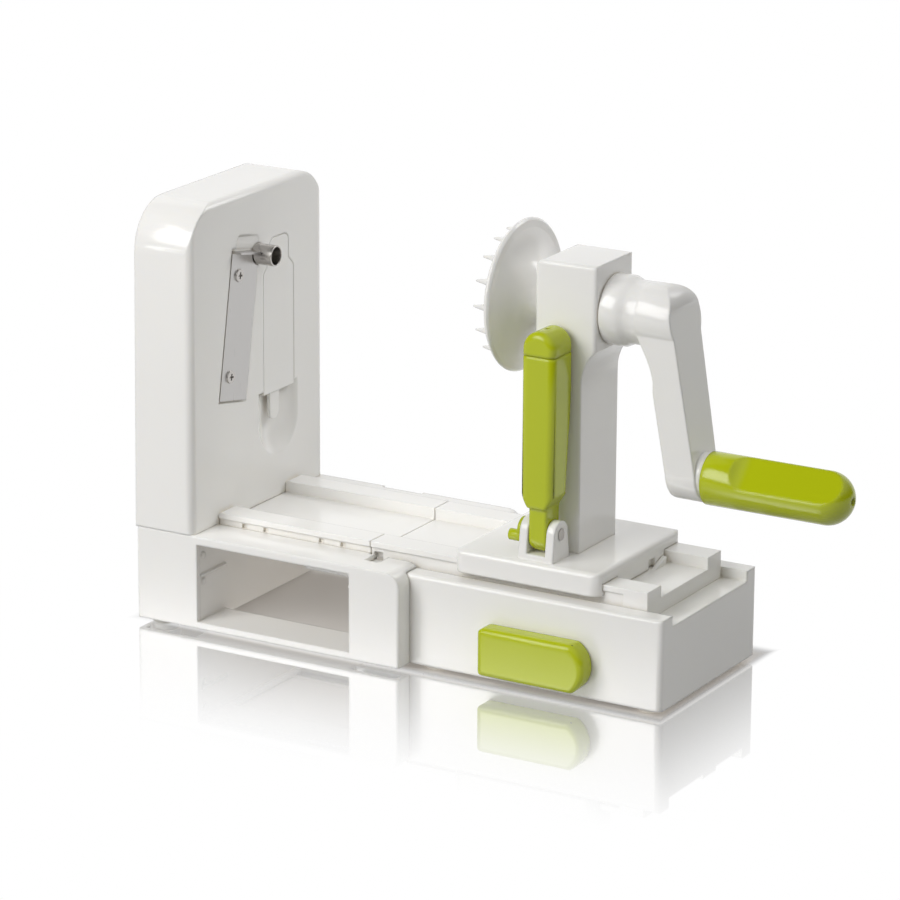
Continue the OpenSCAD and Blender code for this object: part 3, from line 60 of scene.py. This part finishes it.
# Softened edges: widest rounding of each piece in millimetres, less where its faces are narrow
EDGES = {
    "base_sleeve": 0.8, "tower_shell": 0.6, "left_track": 0.4, "blank_insert": 0.3,
    "right_base": 1.2, "right_track": 0.7, "carriage_plate": 0.8, "column_shell": 0.5,
    "holder_disc": 0.2, "crank_arm": 0.8, "base_latch": 0.3, "suction_lever": 0.8,
    "push_lever": 1.0, "lever_cap": 0.4, "lever_catch": 0.5, "hand_grip": 0.5,
    "straight_blade": 0.15, "coring_tube": 0.2, "left_feet": 0.4, "right_feet": 0.4,
}
EDGE_ANGLE = math.radians(28)
EDGE_STEPS = 3
JOIN_DISTANCE = 0.002 * MM
FLAT_ANGLE = math.radians(0.3)
UNCLAMPED = ("push_lever", "suction_lever")

# Camera: angles in degrees, lens and sensor in millimetres
CAMERA_TILT, CAMERA_TURN, CAMERA_ROLL = 73.13, 30.26, 0.3
CAMERA_PLACE = (1.06825, -1.8958, 0.7667)
CAMERA_LENS, CAMERA_SENSOR = 180, 36

# Direction along the floor from the object to the camera
VIEW_X, VIEW_Y = math.sin(math.radians(CAMERA_TURN)), -math.cos(math.radians(CAMERA_TURN))

# Rectangle on the floor that stands for the base: its front and right side are the right half's,
# its rear is the sleeve's and its left side is the tower's
LOW, HIGH = 0, 1
BASE_FRONT, BASE_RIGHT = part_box("right_base")[LOW].y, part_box("right_base")[HIGH].x
BASE_REAR, BASE_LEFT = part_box("base_sleeve")[HIGH].y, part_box("tower_shell")[LOW].x

# Floor: half its side, light it gives the object, and where its mirror fades: towards the
# camera, and behind the base or to its left
FLOOR_HALF = 6.0
FLOOR_BOUNCE = 0.27
MIRROR_MOST = 0.8
MIRROR_AWAY = (-0.03, 0.17)
MIRROR_PAST = (0.02, 0.17)
SHINE_ROUGHNESS = 0.03

# Painted contact shadow round the base: its reach, mirror, and the shadow's tone at the base's left
# and right ends
GAP_REACH, GAP_MIRROR, GAP_SHADOW_LEFT, GAP_SHADOW_RIGHT = 0.0105, 0.25, 0.7, 0.46

# Floor under the base: width of its edge, colours, and light seen directly and given off. Its
# grey-brown colour is painted shade on top of the base's real shadow, and the light it gives off is a
# painted glow.
UNDER_EDGE = 0.004
UNDER_SHADE_COLOR, UNDER_GLOW_TINT = (0.58, 0.56, 0.54, 1), (1.0, 0.95, 0.9, 1)
UNDER_GLOW_SEEN, UNDER_BOUNCE = 0.12, 0.35
UNDER_SHINE = 0.1

# Room: colours, and the stretch of direction over which each part of it comes in
ROOM_FRONT = (0.16, 0.16, 0.155, 1)
ROOM_RIGHT = (0.07, 0.065, 0.06, 1)
ROOM_TOP_LEFT, ROOM_TOP_RIGHT = (0.08, 0.08, 0.08, 1), (0.75, 0.75, 0.75, 1)
WHITE_FROM, WHITE_FULL = 0.5, 0.75
RIGHT_FROM, RIGHT_FULL = -0.1, 0.55
TOP_FROM, TOP_FULL = 0.15, 0.55
TOP_RIGHT_FROM, TOP_RIGHT_FULL = -0.3, 0.2

# Lamps
TOWER_BOX = {"place": (0.12, 0.28, 0.42), "target": (-0.15, 0.01, 0.14), "size": (0.2, 0.2),
             "power": 0.085}
TOWER_BOX_SPREAD = math.radians(60)
FRONT_BOX = {"place": (-0.55, -1.1, 0.82), "target": (0.0, 0.0, 0.1), "size": (0.9, 0.9),
             "power": 14.8, "color": (1.0, 0.998, 0.995)}


# Node helpers

def new_group(name, sockets_in, sockets_out):
    """An empty node group with the given (name, type, default) inputs and (name, type) outputs."""
    group = bpy.data.node_groups.new(name, "ShaderNodeTree")
    for label, kind, default in sockets_in:
        entry = group.interface.new_socket(name=label, in_out="INPUT", socket_type=kind)
        entry.default_value = default
    for label, kind in sockets_out:
        group.interface.new_socket(name=label, in_out="OUTPUT", socket_type=kind)
    return group, group.nodes.new("NodeGroupInput"), group.nodes.new("NodeGroupOutput")


def add(tree, kind, **values):
    """A node with attributes and input defaults set by name."""
    node = tree.nodes.new(kind)
    for key, value in values.items():
        if hasattr(node, key) and key not in node.inputs:
            setattr(node, key, value)
        else:
            node.inputs[key].default_value = value
    return node


def math_node(tree, operation, *values):
    """A math node whose inputs are numbers or sockets."""
    node = add(tree, "ShaderNodeMath", operation=operation)
    for slot, value in enumerate(values):
        if isinstance(value, (int, float)):
            node.inputs[slot].default_value = value
        else:
            tree.links.new(value, node.inputs[slot])
    return node.outputs[0]


def map_range(tree, value, start, end, low, high, **options):
    """A straight step of a socket from low at start to high at end."""
    node = add(tree, "ShaderNodeMapRange", **options)
    ends = {"From Min": start, "From Max": end, "To Min": low, "To Max": high}
    for label, number in ends.items():
        node.inputs[label].default_value = number
    tree.links.new(value, node.inputs["Value"])
    return node.outputs["Result"]


def ramp(tree, value, start, end, low, high):
    """A smooth step of a socket from low at start to high at end."""
    return map_range(tree, value, start, end, low, high, interpolation_type="SMOOTHSTEP")


def blend(tree, factor, low, high, **options):
    """A colour mix of two colours or sockets by a socket."""
    node = add(tree, "ShaderNodeMix", data_type="RGBA", **options)
    tree.links.new(factor, node.inputs[0])
    for slot, value in ((6, low), (7, high)):
        if isinstance(value, tuple):
            node.inputs[slot].default_value = value
        else:
            tree.links.new(value, node.inputs[slot])
    return node.outputs[2]


# Materials

def moulded_group():
    """Moulded plastic: faint shade drift, painted shade in crevices, uneven roughness and a soft
    ripple.
    """
    group, given, result = new_group(
        "moulded_surface",
        [("Color", "NodeSocketColor", (0.8, 0.8, 0.8, 1)),
         ("Roughness", "NodeSocketFloat", 0.3),
         ("Drift", "NodeSocketFloat", 0.02),
         ("Ripple", "NodeSocketFloat", 0.02),
         ("Soft", "NodeSocketFloat", 0.001)],
        [("Color", "NodeSocketColor"), ("Roughness", "NodeSocketFloat"),
         ("Normal", "NodeSocketVector")])
    link = group.links.new
    coord = add(group, "ShaderNodeTexCoord")
    shade, fine, swell = [add(group, "ShaderNodeTexNoise", Scale=scale, Detail=detail)
                          for scale, detail in (SHADE_NOISE, GRAIN_NOISE, SWELL_NOISE)]
    for noise in (shade, fine, swell):
        link(coord.outputs["Object"], noise.inputs["Vector"])

    centred = math_node(group, "SUBTRACT", shade.outputs["Fac"], 0.5)
    amount = math_node(group, "MULTIPLY", centred, given.outputs["Drift"])
    tint = add(group, "ShaderNodeHueSaturation")
    link(given.outputs["Color"], tint.inputs["Color"])
    link(math_node(group, "ADD", amount, 1.0), tint.inputs["Value"])
    # Painted shade: the colour darkens and turns beige where ambient occlusion finds a crevice
    nook = add(group, "ShaderNodeAmbientOcclusion", samples=LOCAL_SAMPLES, Distance=NOOK_REACH)
    depth = map_range(group, nook.outputs["AO"], NOOK_DEEP, NOOK_OPEN, 1.0, 0.0)
    painted_nook_shade = blend(group, depth, tint.outputs["Color"], NOOK_SHADE_TINT, blend_type="MULTIPLY")
    link(painted_nook_shade, result.inputs["Color"])

    uneven = map_range(group, swell.outputs["Fac"], 0.0, 1.0, ROUGH_LOW, ROUGH_HIGH)
    link(math_node(group, "MULTIPLY", given.outputs["Roughness"], uneven), result.inputs["Roughness"])

    soft = add(group, "ShaderNodeBevel", samples=LOCAL_SAMPLES)
    link(given.outputs["Soft"], soft.inputs["Radius"])
    ripple = add(group, "ShaderNodeBump", Distance=SWELL_DEPTH)
    link(soft.outputs["Normal"], ripple.inputs["Normal"])
    link(given.outputs["Ripple"], ripple.inputs["Strength"])
    link(swell.outputs["Fac"], ripple.inputs["Height"])
    grain = add(group, "ShaderNodeBump", Strength=GRAIN_STRENGTH, Distance=GRAIN_DEPTH)
    link(fine.outputs["Fac"], grain.inputs["Height"])
    link(ripple.outputs["Normal"], grain.inputs["Normal"])
    link(grain.outputs["Normal"], result.inputs["Normal"])
    return group


MOULDED = moulded_group()


def principled(name):
    """A new material with its tree and Principled node."""
    material = bpy.data.materials.new(name)
    material.use_nodes = True
    return material, material.node_tree, material.node_tree.nodes["Principled BSDF"]


def plastic(name, color, roughness, drift=0.03, ripple=0.03, subsurface=0.0, soft=1.0):
    """Gloss or satin moulded plastic: soft is the radius of its edges' shading in millimetres."""
    material, tree, bsdf = principled(name)
    surface = add(tree, "ShaderNodeGroup", node_tree=MOULDED)
    values = {"Color": (*color, 1), "Roughness": roughness, "Drift": drift, "Ripple": ripple,
              "Soft": soft * MM}
    for label, value in values.items():
        surface.inputs[label].default_value = value
    tree.links.new(surface.outputs["Color"], bsdf.inputs["Base Color"])
    tree.links.new(surface.outputs["Roughness"], bsdf.inputs["Roughness"])
    tree.links.new(surface.outputs["Normal"], bsdf.inputs["Normal"])
    bsdf.inputs["IOR"].default_value = PLASTIC_IOR
    bsdf.inputs["Subsurface Weight"].default_value = subsurface
    bsdf.inputs["Subsurface Radius"].default_value = GLOW_SPREAD
    bsdf.inputs["Subsurface Scale"].default_value = GLOW_DEPTH
    return material


def brushed(name, color, roughness, stretch):
    """Steel brushed along one axis: stretch is the texture's scale along X, Y and Z."""
    material, tree, bsdf = principled(name)
    link = tree.links.new
    coord = add(tree, "ShaderNodeTexCoord")
    mapping = add(tree, "ShaderNodeMapping", Scale=stretch)
    grain = add(tree, "ShaderNodeTexNoise", Scale=1.0, Detail=BRUSH_DETAIL)
    link(coord.outputs["Object"], mapping.inputs["Vector"])
    link(mapping.outputs["Vector"], grain.inputs["Vector"])
    uneven = map_range(tree, grain.outputs["Fac"], 0.0, 1.0,
                       roughness * BRUSH_SMOOTH, roughness * BRUSH_ROUGH)
    link(uneven, bsdf.inputs["Roughness"])
    bump = add(tree, "ShaderNodeBump", Strength=BRUSH_STRENGTH, Distance=BRUSH_DEPTH)
    link(grain.outputs["Fac"], bump.inputs["Height"])
    link(bump.outputs["Normal"], bsdf.inputs["Normal"])
    bsdf.inputs["Base Color"].default_value = (*color, 1)
    bsdf.inputs["Metallic"].default_value = 1.0
    return material


WHITE = plastic("white_gloss", WHITE_COLOR, WHITE_ROUGHNESS, subsurface=WHITE_GLOW, soft=1.8)
FINE = plastic("white_gloss_fine", WHITE_COLOR, WHITE_ROUGHNESS, subsurface=WHITE_GLOW, soft=0.9)
INNER = plastic("inner_satin", color=(0.76, 0.75, 0.72), roughness=0.42)
LIME = plastic("lime_gloss", color=(0.465, 0.53, 0.003), roughness=0.16, drift=0.05, soft=2.4)
BLADE_STEEL = brushed("blade_steel", color=(0.5, 0.49, 0.48), roughness=0.3,
                      stretch=(900.0, 900.0, 30.0))
TURNED_STEEL = brushed("turned_steel", color=(0.5, 0.48, 0.46), roughness=0.24,
                       stretch=(900.0, 60.0, 60.0))
RUBBER = plastic("foot_rubber", color=(0.7, 0.7, 0.68), roughness=0.6, drift=0.08, ripple=0.1)

MATERIALS = {
    WHITE: ["base_sleeve", "tower_shell", "right_base", "carriage_plate", "column_shell",
            "crank_arm"],
    FINE: ["left_track", "blank_insert", "right_track", "holder_disc"],
    INNER: ["base_latch", "cam_shaft", "lift_yoke", "left_bush", "right_bush"],
    LIME: ["suction_lever", "push_lever", "lever_cap", "lever_catch", "hand_grip"],
    BLADE_STEEL: ["straight_blade"],
    TURNED_STEEL: ["coring_tube", "blade_screws", "lever_pin", "tower_screws", "track_screws",
                   "column_screws", "drive_shaft", "grip_axle", "grip_screw"],
    RUBBER: ["left_feet", "right_feet", "suction_foot"],
}

for material, names in MATERIALS.items():
    for name in names:
        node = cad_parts[name]
        if not node.material_slots:
            node.data.materials.append(material)
        for entry in node.material_slots:
            entry.material = material

for name, width in EDGES.items():
    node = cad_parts[name]
    weld = node.modifiers.new("joined_faces", "WELD")
    weld.merge_threshold = JOIN_DISTANCE
    flat = node.modifiers.new("flat_faces", "DECIMATE")
    flat.decimate_type = "DISSOLVE"
    flat.angle_limit = FLAT_ANGLE
    bevel = node.modifiers.new("soft_edges", "BEVEL")
    bevel.width = width * MM
    bevel.segments = EDGE_STEPS
    bevel.limit_method = "ANGLE"
    bevel.angle_limit = EDGE_ANGLE
    bevel.harden_normals = True
    bevel.use_clamp_overlap = name not in UNCLAMPED


# Stage

def floor_material():
    """Floor that mirrors the object next to it and fades to white away from it, with a painted
    contact shadow round the base and painted shade and glow under it.

    away is the distance from the base towards the camera, past the distance behind the base or
    to its left, and outside the greater of both.
    """
    material, tree, bsdf = principled("studio_floor")
    tree.nodes.remove(bsdf)
    link = tree.links.new

    def calc(operation, *values):
        return math_node(tree, operation, *values)

    def mixed(low, high):
        node = add(tree, "ShaderNodeMixShader")
        link(low.outputs[0], node.inputs[1])
        link(high.outputs[0], node.inputs[2])
        return node

    place = add(tree, "ShaderNodeTexCoord")
    split = add(tree, "ShaderNodeSeparateXYZ")
    link(place.outputs["Object"], split.inputs[0])
    floor_x, floor_y = split.outputs["X"], split.outputs["Y"]
    ahead = calc("MULTIPLY", calc("SUBTRACT", floor_y, BASE_FRONT), 1 / VIEW_Y)
    aside = calc("MULTIPLY", calc("SUBTRACT", floor_x, BASE_RIGHT), 1 / VIEW_X)
    away = calc("MAXIMUM", ahead, aside)
    past = calc("MAXIMUM", calc("SUBTRACT", floor_y, BASE_REAR),
                calc("SUBTRACT", BASE_LEFT, floor_x))
    outside = calc("MAXIMUM", away, past)

    mirror = calc("MULTIPLY", ramp(tree, away, *MIRROR_AWAY, MIRROR_MOST, 0.0),
                  ramp(tree, outside, UNDER_EDGE, GAP_REACH, GAP_MIRROR, 1.0))
    mirror = calc("MULTIPLY", mirror, ramp(tree, past, *MIRROR_PAST, 1.0, 0.0))
    # Painted contact shadow: the floor's white glow dims near the base, darker at its right end
    gap_shadow_tone = ramp(tree, floor_x, BASE_LEFT, BASE_RIGHT, GAP_SHADOW_LEFT, GAP_SHADOW_RIGHT)
    gap_shadow_fade = ramp(tree, outside, 0.0, GAP_REACH, 0.0, 1.0)
    glow_less_gap_shadow = calc("ADD", gap_shadow_tone,
                    calc("MULTIPLY", gap_shadow_fade, calc("SUBTRACT", 1.0, gap_shadow_tone)))
    under = ramp(tree, outside, -UNDER_EDGE, UNDER_EDGE, 1.0, 0.0)
    path = add(tree, "ShaderNodeLightPath")
    direct = calc("MAXIMUM", path.outputs["Is Camera Ray"], path.outputs["Is Glossy Ray"])

    glow = add(tree, "ShaderNodeEmission", Color=PURE_WHITE)
    link(calc("MULTIPLY", ramp(tree, direct, 0.0, 1.0, FLOOR_BOUNCE, 1.0), glow_less_gap_shadow),
         glow.inputs["Strength"])
    shine = add(tree, "ShaderNodeBsdfGlossy", Color=PURE_WHITE, Roughness=SHINE_ROUGHNESS)
    # Painted shade and light under the base: a grey-brown matte floor and a faint painted glow
    matte = add(tree, "ShaderNodeBsdfDiffuse", Color=UNDER_SHADE_COLOR)
    painted_under_glow = add(tree, "ShaderNodeEmission", Color=UNDER_GLOW_TINT)
    link(calc("ADD", UNDER_GLOW_SEEN, ramp(tree, direct, 0.0, 1.0, UNDER_BOUNCE, 0.0)),
         painted_under_glow.inputs["Strength"])
    matte_and_glow = add(tree, "ShaderNodeAddShader")
    link(matte.outputs[0], matte_and_glow.inputs[0])
    link(painted_under_glow.outputs[0], matte_and_glow.inputs[1])

    clear = mixed(glow, shine)
    link(mirror, clear.inputs[0])
    shaded = mixed(matte_and_glow, shine)
    shaded.inputs[0].default_value = UNDER_SHINE
    whole = mixed(clear, shaded)
    link(under, whole.inputs[0])
    link(whole.outputs[0], tree.nodes["Material Output"].inputs["Surface"])
    return material


def studio_room():
    """World that is white behind the object, dimmer to the front and dark to the right."""
    world = bpy.data.worlds.new("studio")
    world.use_nodes = True
    sky = world.node_tree
    toward = add(sky, "ShaderNodeTexCoord")
    axes = add(sky, "ShaderNodeSeparateXYZ")
    sky.links.new(toward.outputs["Generated"], axes.inputs[0])
    toward_x, toward_y, toward_z = axes.outputs
    behind = math_node(sky, "ADD", math_node(sky, "MULTIPLY", toward_x, -VIEW_X),
                       math_node(sky, "MULTIPLY", toward_y, -VIEW_Y))
    white_room = ramp(sky, behind, WHITE_FROM, WHITE_FULL, 0.0, 1.0)
    right_side = ramp(sky, toward_x, RIGHT_FROM, RIGHT_FULL, 0.0, 1.0)
    overhead = ramp(sky, toward_z, TOP_FROM, TOP_FULL, 0.0, 1.0)
    top_right = ramp(sky, toward_x, TOP_RIGHT_FROM, TOP_RIGHT_FULL, 0.0, 1.0)
    above = blend(sky, top_right, ROOM_TOP_LEFT, ROOM_TOP_RIGHT)
    room = blend(sky, right_side, ROOM_FRONT, ROOM_RIGHT)
    room = blend(sky, overhead, room, above)
    room = blend(sky, white_room, room, PURE_WHITE)
    path = add(sky, "ShaderNodeLightPath")
    seen = blend(sky, path.outputs["Is Camera Ray"], room, PURE_WHITE)
    background = sky.nodes["Background"]
    background.inputs["Strength"].default_value = 1.0
    sky.links.new(seen, background.inputs["Color"])
    return world


def area_light(name, place, target, size, power, color=(1, 1, 1)):
    """A soft box at a place, facing a target."""
    data = bpy.data.lights.new(name, "AREA")
    data.shape = "RECTANGLE"
    data.size, data.size_y = size
    data.energy = power
    data.color = color
    lamp = bpy.data.objects.new(name, data)
    scene.collection.objects.link(lamp)
    lamp.location = place
    aim = [end - start for start, end in zip(place, target)]
    level = math.hypot(aim[0], aim[1])
    lamp.rotation_euler = (math.atan2(level, -aim[2]), 0, math.atan2(aim[0], -aim[1]) + math.pi)
    return lamp


def studio_camera():
    """Camera at the photograph's angle, rolled a little for its tilted base."""
    data = bpy.data.cameras.new("camera")
    data.lens = CAMERA_LENS
    data.sensor_width = CAMERA_SENSOR
    camera = bpy.data.objects.new("camera", data)
    scene.collection.objects.link(camera)
    turn = Euler((math.radians(CAMERA_TILT), 0, math.radians(CAMERA_TURN))).to_matrix()
    roll = Matrix.Rotation(math.radians(CAMERA_ROLL), 3, "Z")
    camera.rotation_euler = (turn @ roll).to_euler()
    camera.location = CAMERA_PLACE
    return camera


scene = bpy.context.scene
for item in bpy.context.selected_objects:
    item.select_set(False)
bpy.ops.mesh.primitive_plane_add(size=2 * FLOOR_HALF, location=(0, 0, 0))
floor = bpy.context.object
floor.name = "studio_floor"
floor.data.materials.append(floor_material())

scene.world = studio_room()
tower_box = area_light("tower_box", **TOWER_BOX)
tower_box.data.spread = TOWER_BOX_SPREAD
area_light("front_box", **FRONT_BOX)
scene.camera = studio_camera()

scene.view_settings.view_transform = "Standard"
